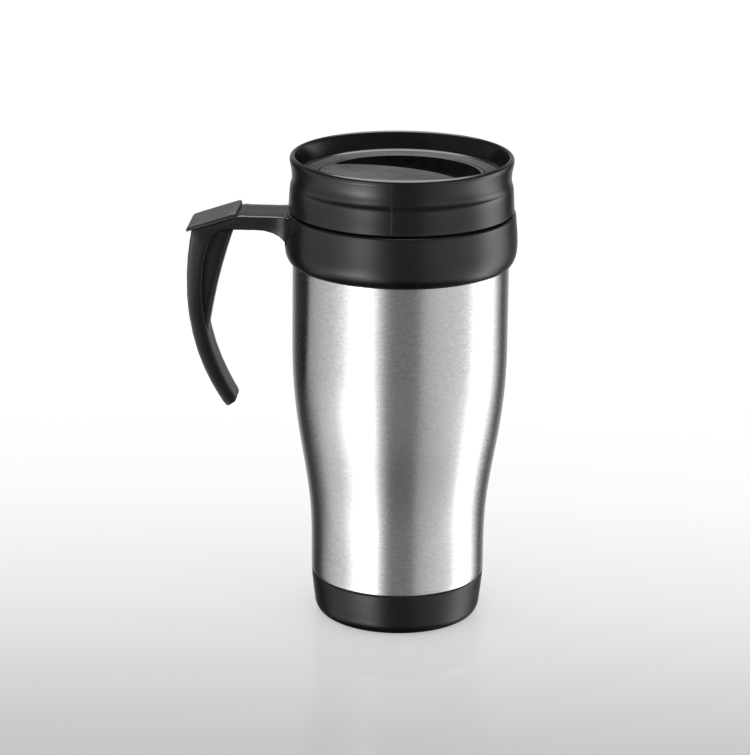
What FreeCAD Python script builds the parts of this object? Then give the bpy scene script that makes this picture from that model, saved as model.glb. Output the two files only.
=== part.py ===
import FreeCAD, Part
import os

# Insulated travel mug, in millimetres. Z runs up the mug's axis from the table,
# and the handle points along -X.

Vector = FreeCAD.Vector
up = Vector(0, 0, 1)

# Overall sizes
collar_radius = 43.0
rim_height = 177.4
steel_bottom = 16.5
steel_top = 142.2
steel_wall = 0.6
grip_radius = 32.7
body_radius = 40.1

# Base
foot_radius = 24.0
foot_height = 1.7
base_bottom = 0.5
base_corner = 2.5
base_wall = 1.8
plug_radius = 31.0
plug_top = 22.0
seal_gap = 0.05

# Inner cup
cup_wall = 1.9
cup_floor = 8.5
mouth_radius = 36.7
mouth_bottom = 143.0
flange_radius = 40.15
flange_seat = 153.9
cup_top = 156.3

# Collar
collar_bottom = 137.4
collar_bore = 38.6
collar_top = 156.4
collar_skirt_bore = 40.15

# Handle
arm_top = 155.1
arm_bottom = 149.7
arm_end = -60.0
arm_start = -40.5
pad_seat = 154.7
seat_end = (-78.2, 148.9)
elbow_corner = (-76.9, 149.31)
grip_tip = (-65.6, 82.5)
arm_half_width = 9.5
tip_half_width = 6.7
web_half_width = 4.6
pad_half_width = 10.8

# Lid
lid_bottom = 157.0
lid_radius = 41.65
lid_wall = 2.2
bowl_floor = 170.2
bowl_radius = 36.6
pocket_radius = 31.0
pocket_floor = 163.3
pocket_bottom = 161.1
pocket_wall = 2.4
shelf_bottom = bowl_floor - lid_wall
skirt_radius = 36.4
skirt_bottom = 146.0
skirt_bore = 34.2
groove_bottom = 149.0
groove_top = 153.0
groove_radius = 35.1

# Drink closure
disc_radius = 30.6
disc_bottom = 163.7
well_radius = 29.2
well_floor = 165.3
well_angle = 63.0
ridge_radius = 49.0
ridge_offset = 9.0
hub_radius = 4.22
hub_hole = 4.3
hub_end = 157.9
clip_radius = 8.0
clip_bottom = 159.2
clip_top = 160.7
port_distance = 22.5
port_length = 11.0
port_width = 6.5
vent_angle = 15.0
vent_radius = 1.2
seal_inner = 17.6
seal_outer = 29.6
seal_seat = 162.5
stop_distance = 12.0
stop_radius = 1.8
stop_depth = 1.4
disc_travel = 75.0


def face(start, moves):
    # One point is a straight run, two are an arc, more are a smooth curve.
    edges = []
    here = start
    for points in moves:
        stops = [Vector(x, 0, z) for x, z in [here] + points]
        if len(points) == 1:
            edges.append(Part.makeLine(stops[0], stops[1]))
        elif len(points) == 2:
            edges.append(Part.Arc(stops[0], stops[1], stops[2]).toShape())
        else:
            curve = Part.BSplineCurve()
            curve.interpolate(stops)
            edges.append(curve.toShape())
        here = points[-1]
    return Part.Face(Part.Wire(edges))


def turned(start, moves):
    return face(start, moves).revolve(Vector(0, 0, 0), up, 360)


def ring(inner, outer, low, high):
    tube = Part.makeCylinder(outer, high - low, Vector(0, 0, low))
    return tube.cut(Part.makeCylinder(inner, high - low, Vector(0, 0, low)))


def slab(start, moves, half_width):
    # A side outline carried across the handle's width.
    return face(start, moves).extrude(Vector(0, 2 * half_width, 0)).translated(Vector(0, -half_width, 0))


def slot(length, width, low, high, distance, angle):
    # A round-ended hole whose long side runs along the rim.
    half = (length - width) / 2
    body = Part.makeBox(width, 2 * half, high - low, Vector(distance - width / 2, -half, low))
    for side in (-half, half):
        body = body.fuse(Part.makeCylinder(width / 2, high - low, Vector(distance, side, low)))
    return body.removeSplitter().rotated(Vector(0, 0, 0), up, angle)


def hole(radius, low, high, distance, angle):
    pin = Part.makeCylinder(radius, high - low, Vector(distance, 0, low))
    return pin.rotated(Vector(0, 0, 0), up, angle)


def outerShell():
    # A thin steel tube: straight at the grip, swelling to the body, turned in at the foot.
    turn_in = plug_radius + 0.1
    swell = [(33.1, 41.5), (34.3, 52.0), (36.3, 64.3), (38.15, 76.1), (39.5, 88.2), (body_radius, 103.0)]
    outside = [(grip_radius, 30.0)] + swell
    inside = [(x - steel_wall, z) for x, z in reversed(outside)]
    return turned((turn_in, steel_bottom), [
        [(grip_radius - 0.5, steel_bottom)],
        [(grip_radius - 0.15, steel_bottom + 0.15), (grip_radius, steel_bottom + 0.5)],
        [outside[0]],
        outside[1:],
        [(body_radius - 0.05, steel_top)],
        [(body_radius - 0.05 - steel_wall, steel_top)],
        [inside[0]],
        inside[1:],
        [(grip_radius - steel_wall, steel_bottom + steel_wall)],
        [(turn_in, steel_bottom + steel_wall)],
        [(turn_in, steel_bottom)],
    ])


def upperSeal():
    return ring(collar_bore + 0.15, collar_skirt_bore - seal_gap, steel_top, mouth_bottom)


def lowerSeal():
    # A round-sided ring that sits on the steel's turned-in foot.
    low = steel_bottom + steel_wall
    inner = plug_radius + seal_gap
    outer = grip_radius - steel_wall - seal_gap
    return turned((inner, low), [
        [(outer - 0.4, low)],
        [(outer, low + 0.7), (outer - 0.4, low + 1.4)],
        [(inner, low + 1.4)],
        [(inner, low)],
    ])


def innerLiner():
    # The cup that holds the drink, hung from its flange in the collar.
    sides = [(28.6, 22.0), (29.3, 38.0), (31.3, 52.0), (34.3, 68.0), (36.3, 88.0), (37.0, 110.0)]
    outside = [(28.2, 13.5)] + sides
    inside = [(x - cup_wall, z) for x, z in reversed(outside)]
    neck = collar_bore - 0.1
    return turned((0, cup_floor), [
        [(23.2, cup_floor)],
        [(26.75, 9.95), outside[0]],
        outside[1:],
        [(37.0, 126.0)],
        [(neck, mouth_bottom - 3)],
        [(neck, flange_seat)],
        [(flange_radius, flange_seat)],
        [(flange_radius, cup_top - 0.4)],
        [(flange_radius - 0.12, cup_top - 0.12), (flange_radius - 0.4, cup_top)],
        [(mouth_radius + 0.8, cup_top)],
        [(mouth_radius, cup_top - 1.2)],
        [(mouth_radius, mouth_bottom - 1)],
        [(37.0 - cup_wall, 126.0)],
        [inside[0]],
        inside[1:],
        [(25.4, 11.4), (22.6, cup_floor + cup_wall)],
        [(0, cup_floor + cup_wall)],
        [(0, cup_floor)],
    ])


def collarRing():
    lip = collar_radius - 1.0
    return turned((collar_skirt_bore, collar_bottom), [
        [(collar_skirt_bore + 0.5, collar_bottom)],
        [(42.0, 139.1), (42.75, 141.5), (collar_radius, 144.6)],
        [(42.75, 149.6), (lip, 155.4)],
        [(lip - 0.3, 156.1), (lip - 1.0, collar_top)],
        [(flange_radius + 0.1, collar_top)],
        [(flange_radius + 0.1, flange_seat)],
        [(collar_bore, flange_seat)],
        [(collar_bore, mouth_bottom)],
        [(collar_skirt_bore, mouth_bottom)],
        [(collar_skirt_bore, collar_bottom)],
    ])


def handleStrip():
    # Arm, elbow and open-ended grip, cut to the width seen from behind the handle.
    side = slab((arm_start, arm_top), [
        [(arm_end, arm_top)],
        [(arm_end, pad_seat)],
        [elbow_corner],
        [(-77.0, 147.5), (-78.0, 143.0), (-79.0, 134.0), (-79.1, 124.0), (-77.6, 112.5),
         (-75.2, 103.1), (-71.75, 93.8), grip_tip],
        [(-64.7, 81.3), (-63.6, 80.8)],
        [(-61.7, 82.0)],
        [(-61.15, 82.6), (-61.2, 83.5)],
        [(-62.9, 86.7), (-66.6, 94.1), (-69.5, 102.0), (-71.9, 111.8), (-73.1, 125.0), (-72.4, 137.5),
         (-70.3, 144.2)],
        [(-67.6, 147.9), (-62.5, arm_bottom)],
        [(-51.5, arm_bottom)],
        [(-46.8, 148.7), (-42.4, 145.9)],
        [(arm_start, 145.9)],
        [(arm_start, arm_top)],
    ], arm_half_width)
    edges = []
    for sign in (1, -1):
        curve = Part.BSplineCurve()
        stops = [(arm_half_width, 146.0), (8.6, 136.0), (7.4, 120.0), (6.8, 102.0), (tip_half_width, 80.0)]
        curve.interpolate([Vector(0, sign * y, z) for y, z in stops])
        edges.append(curve.toShape())
        edges.append(Part.makeLine(Vector(0, sign * arm_half_width, 146.0), Vector(0, sign * arm_half_width, 160)))
    edges.append(Part.makeLine(Vector(0, -arm_half_width, 160), Vector(0, arm_half_width, 160)))
    edges.append(Part.makeLine(Vector(0, -tip_half_width, 80), Vector(0, tip_half_width, 80)))
    front = Part.Face(Part.Wire(Part.__sortEdges__(edges))).extrude(Vector(-85, 0, 0))
    return side.common(front)


def handleWeb():
    # The narrower rib that fills the corner between arm and grip.
    web = slab((arm_end - 0.8, arm_bottom + 1), [
        [(arm_end - 1.7, arm_bottom - 0.2)],
        [(-67.6, 130.5), (-71.7, 110.5)],
        [(-75.5, 113.0)],
        [(-75.5, 140.0)],
        [(-68.0, arm_bottom + 1)],
        [(arm_end - 0.8, arm_bottom + 1)],
    ], web_half_width)
    inner = [e for e in web.Edges if abs(e.CenterOfMass.x + 67.4) < 1.2 and e.Length > 30]
    return web.makeFillet(1.4, inner)


def collarHandle():
    return collarRing().fuse([handleStrip(), handleWeb()]).removeSplitter()


def thumbPad():
    # A textured cap on the elbow, a little wider than the handle.
    right = arm_end - 0.05
    side = slab((right, pad_seat), [
        [(right, 155.9)],
        [(right - 0.25, 156.4), (right - 0.9, 156.4)],
        [(-69.5, 153.95), (-77.4, 151.1)],
        [(-79.1, 150.3), (-78.9, 149.1)],
        [seat_end],
        [(right, pad_seat)],
    ], pad_half_width)
    blank = Part.makeBox(20.0, 2 * pad_half_width, 20.0, Vector(-79.6, -pad_half_width, 140))
    corners = [e for e in blank.Edges if abs(e.tangentAt(e.FirstParameter).z) > 0.9]
    outer = [e for e in corners if e.CenterOfMass.x < -79]
    return side.common(blank.makeFillet(3.0, outer))


def baseCap():
    # A shallow cup that plugs the steel tube and carries the foot pad.
    inside = plug_radius - base_wall
    floor = foot_height + 2.0
    low = base_bottom + base_corner
    corner = 31.1 - base_corner
    cap = turned((0, foot_height), [
        [(foot_radius + 0.1, foot_height)],
        [(foot_radius + 0.1, base_bottom)],
        [(corner, base_bottom)],
        [(corner + 0.707 * base_corner, low - 0.707 * base_corner), (corner + base_corner, low)],
        [(31.95, 9.6), (grip_radius - 0.05, steel_bottom)],
        [(plug_radius, steel_bottom)],
        [(plug_radius, plug_top)],
        [(inside, plug_top)],
        [(inside, floor + 2)],
        [(inside - 0.6, floor + 0.6), (inside - 2, floor)],
        [(0, floor)],
        [(0, foot_height)],
    ])
    return cap.fuse(ring(13.0, 15.0, floor, cup_floor)).removeSplitter()


def footPad():
    pad = Part.makeCylinder(foot_radius, foot_height)
    rims = [e for e in pad.Edges if e.Closed and e.CenterOfMass.z < 0.1]
    return pad.makeFillet(0.5, rims)


def lidRim():
    # The wall that is drunk from, the bowl's sloped side and the flat ring round the disc.
    return turned((lid_radius - lid_wall - 0.1, lid_bottom), [
        [(lid_radius - 0.3, lid_bottom)],
        [(lid_radius, lid_bottom + 0.4)],
        [(41.3, 162.0)],
        [(41.1, 166.3)],
        [(40.75, 167.2), (40.42, 169.0), (40.65, 172.0), (41.2, 175.3)],
        [(41.0, 176.8), (40.2, rim_height)],
        [(39.55, 177.15), (39.15, 176.4)],
        [(37.6, 171.3)],
        [(37.3, 170.55), (bowl_radius, bowl_floor)],
        [(pocket_radius, bowl_floor)],
        [(pocket_radius, shelf_bottom)],
        [(39.0, shelf_bottom)],
        [(lid_radius - lid_wall - 0.1, lid_bottom)],
    ])


def lidPlug():
    # The round pocket that the disc turns in, with the skirt that goes into the cup's mouth.
    plug = turned((hub_hole, pocket_floor), [
        [(hub_hole, pocket_bottom)],
        [(skirt_bore, pocket_bottom)],
        [(skirt_bore, skirt_bottom)],
        [(skirt_radius - 0.5, skirt_bottom)],
        [(skirt_radius, skirt_bottom + 1.2)],
        [(skirt_radius, groove_bottom)],
        [(groove_radius, groove_bottom)],
        [(groove_radius, groove_top)],
        [(skirt_radius, groove_top)],
        [(skirt_radius, pocket_floor)],
        [(pocket_radius + pocket_wall, pocket_floor)],
        [(pocket_radius + pocket_wall, shelf_bottom)],
        [(pocket_radius, shelf_bottom)],
        [(pocket_radius, pocket_floor)],
        [(hub_hole, pocket_floor)],
    ])
    plug = plug.cut(ring(seal_inner - 0.1, seal_outer + 0.1, seal_seat, pocket_floor))
    plug = plug.cut(slot(port_length, port_width, pocket_bottom, pocket_floor, port_distance, well_angle))
    plug = plug.cut(hole(vent_radius, pocket_bottom, pocket_floor, port_distance, vent_angle))
    return plug.cut(stopTrack())


def stopTrack():
    # The curved slot in the lid's floor that limits how far the disc turns.
    reach = stop_radius + 0.35
    low = pocket_floor - stop_depth
    start = well_angle + 180
    sector = Part.makeCylinder(2 * stop_distance, stop_depth, Vector(0, 0, low), up, disc_travel)
    track = ring(stop_distance - reach, stop_distance + reach, low, pocket_floor)
    track = track.common(sector.rotated(Vector(0, 0, 0), up, start))
    for angle in (start, start + disc_travel):
        track = track.fuse(hole(reach, low, pocket_floor, stop_distance, angle))
    return track


def lidGasket():
    # Two soft lips press on the cup's mouth.
    inner = groove_radius + 0.06
    lip = mouth_radius - 0.06
    root = 36.0
    low = groove_bottom + 0.1
    high = groove_top - 0.1
    return turned((inner, low), [
        [(root, low)],
        [(lip, low + 0.4)],
        [(lip, low + 0.8)],
        [(root, low + 1.4)],
        [(root, high - 1.4)],
        [(lip, high - 0.8)],
        [(lip, high - 0.4)],
        [(root, high)],
        [(inner, high)],
        [(inner, low)],
    ])


def drinkDisc():
    # The turning closure: a raised flat to push on, and a hollow with the drink hole.
    disc = turned((0, hub_end), [
        [(hub_radius - 0.4, hub_end)],
        [(hub_radius, hub_end + 0.4)],
        [(hub_radius, clip_bottom)],
        [(hub_radius - 0.6, clip_bottom)],
        [(hub_radius - 0.6, clip_top)],
        [(hub_radius, clip_top)],
        [(hub_radius, disc_bottom)],
        [(disc_radius, disc_bottom)],
        [(disc_radius, bowl_floor - 0.4)],
        [(disc_radius - 0.12, bowl_floor - 0.12), (disc_radius - 0.4, bowl_floor)],
        [(0, bowl_floor)],
        [(0, hub_end)],
    ])
    depth = bowl_floor - well_floor
    well = Part.makeCylinder(well_radius, depth, Vector(0, 0, well_floor))
    back = ridge_offset - ridge_radius
    ridge = Part.makeCylinder(ridge_radius, depth, Vector(back, 0, well_floor))
    well = well.cut(ridge.rotated(Vector(0, 0, 0), up, well_angle))
    disc = disc.cut(well)
    disc = disc.cut(slot(port_length, port_width, disc_bottom, well_floor, port_distance, well_angle))
    disc = disc.cut(hole(vent_radius, disc_bottom, well_floor, port_distance, vent_angle))
    peg = hole(stop_radius, pocket_floor - stop_depth + 0.3, disc_bottom, stop_distance, well_angle + 180)
    return disc.fuse(peg).removeSplitter()


def discSeal():
    high = disc_bottom - seal_gap
    seal = ring(seal_inner, seal_outer, seal_seat, high)
    seal = seal.cut(slot(port_length, port_width, seal_seat, high, port_distance, well_angle))
    return seal.cut(hole(vent_radius, seal_seat, high, port_distance, vent_angle))


def discClip():
    # A split washer snapped into the hub's groove.
    clip = ring(hub_radius - 0.55, clip_radius, clip_bottom, clip_top)
    gap = Part.makeBox(clip_radius, 3.0, clip_top - clip_bottom, Vector(0, -1.5, clip_bottom))
    return clip.cut(gap)


pieces = {
    "outer_shell": outerShell,
    "upper_seal": upperSeal,
    "lower_seal": lowerSeal,
    "inner_liner": innerLiner,
    "collar_handle": collarHandle,
    "thumb_pad": thumbPad,
    "base_cap": baseCap,
    "foot_pad": footPad,
    "lid_rim": lidRim,
    "lid_plug": lidPlug,
    "lid_gasket": lidGasket,
    "drink_disc": drinkDisc,
    "disc_seal": discSeal,
    "disc_clip": discClip,
}

for name, make in pieces.items():
    shape = make()
    box = shape.BoundBox
    print(name, shape.isValid(), len(shape.Solids), round(shape.Volume / 1000, 2), "cm3",
          round(box.ZMin, 2), round(box.ZMax, 2))
    shape.exportStep("parts/" + name + ".step")
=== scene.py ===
import math
import bmesh
import bpy
from mathutils import Matrix, Vector
from mathutils.geometry import interpolate_bezier


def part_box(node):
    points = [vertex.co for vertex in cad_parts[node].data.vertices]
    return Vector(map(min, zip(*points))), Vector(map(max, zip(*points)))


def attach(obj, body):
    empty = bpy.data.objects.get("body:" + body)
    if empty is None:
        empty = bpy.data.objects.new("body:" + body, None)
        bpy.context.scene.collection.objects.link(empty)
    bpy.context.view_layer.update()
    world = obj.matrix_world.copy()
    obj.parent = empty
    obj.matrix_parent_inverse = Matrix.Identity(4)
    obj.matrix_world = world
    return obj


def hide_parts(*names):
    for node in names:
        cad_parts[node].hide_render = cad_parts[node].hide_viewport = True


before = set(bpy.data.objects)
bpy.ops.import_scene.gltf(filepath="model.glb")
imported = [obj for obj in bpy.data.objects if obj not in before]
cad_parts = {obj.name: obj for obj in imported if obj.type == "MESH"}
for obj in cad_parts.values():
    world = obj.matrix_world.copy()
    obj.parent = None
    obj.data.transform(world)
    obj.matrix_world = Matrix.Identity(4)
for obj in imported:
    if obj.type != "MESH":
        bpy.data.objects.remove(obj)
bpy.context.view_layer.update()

mm = 0.001
print("frame loaded:", len(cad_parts), "nodes")


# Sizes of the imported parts, in mm
def topOf(node):
    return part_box(node)[1].z / mm


def footOf(node):
    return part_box(node)[0].z / mm


def radiusOf(node):
    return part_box(node)[1].y / mm


def softLine(points, steps=6):
    # A smooth line through every point, ends included
    knots = [Vector((r, 0, z)) for r, z in points]
    last = len(knots) - 1
    lean = [(knots[min(i + 1, last)] - knots[max(i - 1, 0)]).normalized() for i in range(last + 1)]
    line = []
    for i in range(last):
        reach = (knots[i + 1] - knots[i]).length / 3
        hold, let = knots[i] + lean[i] * reach, knots[i + 1] - lean[i + 1] * reach
        line += [(p.x, p.z) for p in interpolate_bezier(knots[i], hold, let, knots[i + 1], steps + 1)[:-1]]
    return line + [points[-1]]


def turned(outline, steps=144, closed=True):
    # Spins an outline of (radius, height) once round the mug's axis
    bm = bmesh.new()
    dots = [bm.verts.new((r * mm, 0, z * mm)) for r, z in outline]
    pairs = list(zip(dots, dots[1:]))
    if closed:
        pairs.append((dots[-1], dots[0]))
    lines = [bm.edges.new(pair) for pair in pairs]
    bmesh.ops.spin(bm, geom=dots + lines, cent=(0, 0, 0), axis=(0, 0, 1), angle=math.tau, steps=steps,
                   use_merge=True)
    bmesh.ops.remove_doubles(bm, verts=bm.verts, dist=0.002 * mm)
    bmesh.ops.recalc_face_normals(bm, faces=bm.faces)
    return bm


def roundRings(bm, rings, segments=3):
    # Rounds the ring edge at each (radius, height) by the third value
    for r, z, size in rings:
        def onRing(v):
            return abs(math.hypot(v.co.x, v.co.y) / mm - r) < 0.02 and abs(v.co.z / mm - z) < 0.02
        ring = [e for e in bm.edges if all(onRing(v) for v in e.verts)]
        bmesh.ops.bevel(bm, geom=ring, offset=size * mm, offset_type="OFFSET", segments=segments, profile=0.5,
                        affect="EDGES", material=-1, clamp_overlap=True)


def loft(sections):
    # Carries one closed ring of points along the sections by extruding its cap
    bm = bmesh.new()
    ring = [bm.verts.new(Vector(p) * mm) for p in sections[0]]
    cap = bm.faces.new(ring)
    for section in sections[1:]:
        out = bmesh.ops.extrude_face_region(bm, geom=[cap])["geom"]
        fresh = [g for g in out if isinstance(g, bmesh.types.BMVert)]
        ring = [min(fresh, key=lambda f, v=v: (f.co - v.co).length) for v in ring]
        bmesh.ops.delete(bm, geom=[cap], context="FACES_ONLY")
        cap = [g for g in out if isinstance(g, bmesh.types.BMFace)][0]
        for v, p in zip(ring, section):
            v.co = Vector(p) * mm
    # the first cap goes with the first extrusion, so it is closed again
    bmesh.ops.holes_fill(bm, edges=bm.edges, sides=0)
    bmesh.ops.recalc_face_normals(bm, faces=bm.faces)
    return bm


def join(bm, other):
    # Adds another mesh to this one
    spare = bpy.data.meshes.new("spare")
    other.to_mesh(spare)
    other.free()
    bm.from_mesh(spare)
    bpy.data.meshes.remove(spare)
    return bm


def combine(bm, other, how="DIFFERENCE"):
    # Takes one closed mesh out of another, or fuses the two
    things = []
    for part in (bm, other):
        mesh = bpy.data.meshes.new("cut")
        part.to_mesh(mesh)
        part.free()
        thing = bpy.data.objects.new("cut", mesh)
        bpy.context.scene.collection.objects.link(thing)
        things.append(thing)
    tool = things[0].modifiers.new("cut", "BOOLEAN")
    tool.object = things[1]
    tool.operation = how
    tool.solver = "EXACT"
    graph = bpy.context.evaluated_depsgraph_get()
    graph.update()
    result = bmesh.new()
    result.from_mesh(things[0].evaluated_get(graph).to_mesh())
    for thing in things:
        mesh = thing.data
        bpy.data.objects.remove(thing)
        bpy.data.meshes.remove(mesh)
    return result


def wrapRound(bm):
    # UVs that run round the axis and up it, for the direction of the brushing
    layer = bm.loops.layers.uv.new("wrap")
    for f in bm.faces:
        middle = f.calc_center_median()
        home = math.atan2(middle.y, middle.x)
        for loop in f.loops:
            co = loop.vert.co
            turn = home
            if math.hypot(co.x, co.y) > 0.01 * mm:
                turn = home + (math.atan2(co.y, co.x) - home + math.pi) % math.tau - math.pi
            loop[layer].uv = (turn / math.tau, co.z / 0.1)


def makePiece(bm, name, body, node, finishes, sharpAbove=38):
    # Puts a finished mesh in the scene, on its body, in place of its CAD node
    wrapRound(bm)
    for f in bm.faces:
        f.smooth = True
    for e in bm.edges:
        e.smooth = e.calc_face_angle(0) < math.radians(sharpAbove)
    mesh = bpy.data.meshes.new(name)
    bm.to_mesh(mesh)
    bm.free()
    for finish in finishes:
        mesh.materials.append(finish)
    piece = bpy.data.objects.new(name, mesh)
    bpy.context.scene.collection.objects.link(piece)
    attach(piece, body)
    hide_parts(node)
    print("made", name, len(mesh.polygons), "faces")
    return piece


def addNode(tree, kind, **settings):
    node = tree.nodes.new(kind)
    for key, value in settings.items():
        if hasattr(node, key):
            setattr(node, key, value)
        else:
            node.inputs[key].default_value = value
    return node


def newGroup(name, inputs, outputs):
    tree = bpy.data.node_groups.new(name, "ShaderNodeTree")
    for label, kind, value in inputs:
        socket = tree.interface.new_socket(name=label, in_out="INPUT", socket_type=kind)
        socket.default_value = value
    for label, kind in outputs:
        tree.interface.new_socket(name=label, in_out="OUTPUT", socket_type=kind)
    return tree, tree.nodes.new("NodeGroupInput"), tree.nodes.new("NodeGroupOutput")


def skinGroup():
    # Moulded skin: two sizes of soft unevenness, as a normal
    tree, given, out = newGroup("mouldedSkin", [
        ("Fine", "NodeSocketFloat", 2500.0),
        ("Wide", "NodeSocketFloat", 220.0),
        ("Depth", "NodeSocketFloat", 0.00001),
        ("Share", "NodeSocketFloat", 0.5),
    ], [("Normal", "NodeSocketVector")])
    place = addNode(tree, "ShaderNodeTexCoord")
    fine = addNode(tree, "ShaderNodeTexNoise", Detail=2.0, Roughness=0.6)
    wide = addNode(tree, "ShaderNodeTexNoise", Detail=2.0, Roughness=0.5)
    blend = addNode(tree, "ShaderNodeMix", data_type="FLOAT")
    bump = addNode(tree, "ShaderNodeBump", Strength=1.0)
    for noise, size in ((fine, "Fine"), (wide, "Wide")):
        tree.links.new(place.outputs["Object"], noise.inputs["Vector"])
        tree.links.new(given.outputs[size], noise.inputs["Scale"])
    tree.links.new(given.outputs["Share"], blend.inputs["Factor"])
    tree.links.new(fine.outputs["Fac"], blend.inputs["A"])
    tree.links.new(wide.outputs["Fac"], blend.inputs["B"])
    tree.links.new(blend.outputs["Result"], bump.inputs["Height"])
    tree.links.new(given.outputs["Depth"], bump.inputs["Distance"])
    tree.links.new(bump.outputs["Normal"], out.inputs["Normal"])
    return tree


def wearGroup():
    # Rubbed edges: bright only where the surface turns sharply outwards, broken up by noise
    tree, given, out = newGroup("rubbedEdges", [
        ("Start", "NodeSocketFloat", 0.54),
        ("Full", "NodeSocketFloat", 0.62),
        ("Amount", "NodeSocketFloat", 0.5),
    ], [("Mask", "NodeSocketFloat")])
    shape = addNode(tree, "ShaderNodeNewGeometry")
    place = addNode(tree, "ShaderNodeTexCoord")
    noise = addNode(tree, "ShaderNodeTexNoise", Scale=260.0, Detail=4.0, Roughness=0.65)
    edge = addNode(tree, "ShaderNodeMapRange", clamp=True)
    patch = addNode(tree, "ShaderNodeMapRange", clamp=True)
    patch.inputs["From Min"].default_value = 0.38
    patch.inputs["From Max"].default_value = 0.66
    both = addNode(tree, "ShaderNodeMath", operation="MULTIPLY")
    scaled = addNode(tree, "ShaderNodeMath", operation="MULTIPLY")
    tree.links.new(shape.outputs["Pointiness"], edge.inputs["Value"])
    tree.links.new(given.outputs["Start"], edge.inputs["From Min"])
    tree.links.new(given.outputs["Full"], edge.inputs["From Max"])
    tree.links.new(place.outputs["Object"], noise.inputs["Vector"])
    tree.links.new(noise.outputs["Fac"], patch.inputs["Value"])
    tree.links.new(edge.outputs["Result"], both.inputs[0])
    tree.links.new(patch.outputs["Result"], both.inputs[1])
    tree.links.new(both.outputs["Value"], scaled.inputs[0])
    tree.links.new(given.outputs["Amount"], scaled.inputs[1])
    tree.links.new(scaled.outputs["Value"], out.inputs["Mask"])
    return tree


def handledGroup():
    # Faint wipe marks and finger haze
    tree, given, out = newGroup("handledHaze", [("Scale", "NodeSocketFloat", 45.0)],
                                [("Mask", "NodeSocketFloat")])
    place = addNode(tree, "ShaderNodeTexCoord")
    noise = addNode(tree, "ShaderNodeTexNoise", Detail=3.0, Roughness=0.5, Distortion=0.15)
    soft = addNode(tree, "ShaderNodeMapRange", clamp=True, interpolation_type="SMOOTHSTEP")
    soft.inputs["From Min"].default_value = 0.35
    soft.inputs["From Max"].default_value = 0.7
    tree.links.new(place.outputs["Object"], noise.inputs["Vector"])
    tree.links.new(given.outputs["Scale"], noise.inputs["Scale"])
    tree.links.new(noise.outputs["Fac"], soft.inputs["Value"])
    tree.links.new(soft.outputs["Result"], out.inputs["Mask"])
    return tree


def brushGroup():
    # Brushing that runs round the body: short fine dashes, over an even mottle
    tree, given, out = newGroup("roundBrushing", [
        ("Fineness", "NodeSocketFloat", 2400.0),
        ("Length", "NodeSocketFloat", 420.0),
        ("Depth", "NodeSocketFloat", 0.00002),
    ], [("Streak", "NodeSocketFloat"), ("Normal", "NodeSocketVector")])
    place = addNode(tree, "ShaderNodeTexCoord")
    layers = []
    for share in (1.0, 0.45):
        stretch = addNode(tree, "ShaderNodeCombineXYZ")
        fine = addNode(tree, "ShaderNodeMath", operation="MULTIPLY")
        fine.inputs[1].default_value = share
        pull = addNode(tree, "ShaderNodeVectorMath", operation="MULTIPLY")
        noise = addNode(tree, "ShaderNodeTexNoise", Scale=1.0, Detail=3.0, Roughness=0.7)
        tree.links.new(given.outputs["Fineness"], fine.inputs[0])
        tree.links.new(given.outputs["Length"], stretch.inputs["X"])
        tree.links.new(given.outputs["Length"], stretch.inputs["Y"])
        tree.links.new(fine.outputs["Value"], stretch.inputs["Z"])
        tree.links.new(place.outputs["Object"], pull.inputs[0])
        tree.links.new(stretch.outputs["Vector"], pull.inputs[1])
        tree.links.new(pull.outputs["Vector"], noise.inputs["Vector"])
        layers.append(noise)
    blend = addNode(tree, "ShaderNodeMix", data_type="FLOAT", Factor=0.45)
    mottle = addNode(tree, "ShaderNodeTexNoise", Scale=1500.0, Detail=3.0, Roughness=0.7)
    rough = addNode(tree, "ShaderNodeMix", data_type="FLOAT", Factor=0.4)
    clear = addNode(tree, "ShaderNodeMapRange", clamp=True)
    clear.inputs["From Min"].default_value = 0.36
    clear.inputs["From Max"].default_value = 0.64
    bump = addNode(tree, "ShaderNodeBump", Strength=1.0)
    tree.links.new(layers[0].outputs["Fac"], blend.inputs["A"])
    tree.links.new(layers[1].outputs["Fac"], blend.inputs["B"])
    tree.links.new(place.outputs["Object"], mottle.inputs["Vector"])
    tree.links.new(blend.outputs["Result"], rough.inputs["A"])
    tree.links.new(mottle.outputs["Fac"], rough.inputs["B"])
    tree.links.new(rough.outputs["Result"], bump.inputs["Height"])
    tree.links.new(given.outputs["Depth"], bump.inputs["Distance"])
    tree.links.new(rough.outputs["Result"], clear.inputs["Value"])
    tree.links.new(clear.outputs["Result"], out.inputs["Streak"])
    tree.links.new(bump.outputs["Normal"], out.inputs["Normal"])
    return tree


moulded, rubbed, handled, brushed = skinGroup(), wearGroup(), handledGroup(), brushGroup()


def newFinish(name, **fixed):
    # A material with its shader, its fixed values set on the shader's own sockets
    material = bpy.data.materials.new(name)
    material.use_nodes = True
    tree = material.node_tree
    tree.nodes.clear()
    out = tree.nodes.new("ShaderNodeOutputMaterial")
    shader = tree.nodes.new("ShaderNodeBsdfPrincipled")
    tree.links.new(shader.outputs["BSDF"], out.inputs["Surface"])
    for socket, value in fixed.items():
        shader.inputs[socket.replace("_", " ")].default_value = value
    return material, tree, shader


def useGroup(tree, group, **values):
    node = tree.nodes.new("ShaderNodeGroup")
    node.node_tree = group
    for socket, value in values.items():
        node.inputs[socket].default_value = value
    return node


def spread(tree, source, low, high):
    # Turns a 0 to 1 mask into a range of values
    node = addNode(tree, "ShaderNodeMapRange", clamp=True)
    node.inputs["To Min"].default_value = low
    node.inputs["To Max"].default_value = high
    tree.links.new(source, node.inputs["Value"])
    return node.outputs["Result"]


def tint(tree, source, dark, light):
    node = addNode(tree, "ShaderNodeMix", data_type="RGBA")
    node.inputs["A"].default_value = (*dark, 1)
    node.inputs["B"].default_value = (*light, 1)
    tree.links.new(source, node.inputs["Factor"])
    return node.outputs["Result"]


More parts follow.
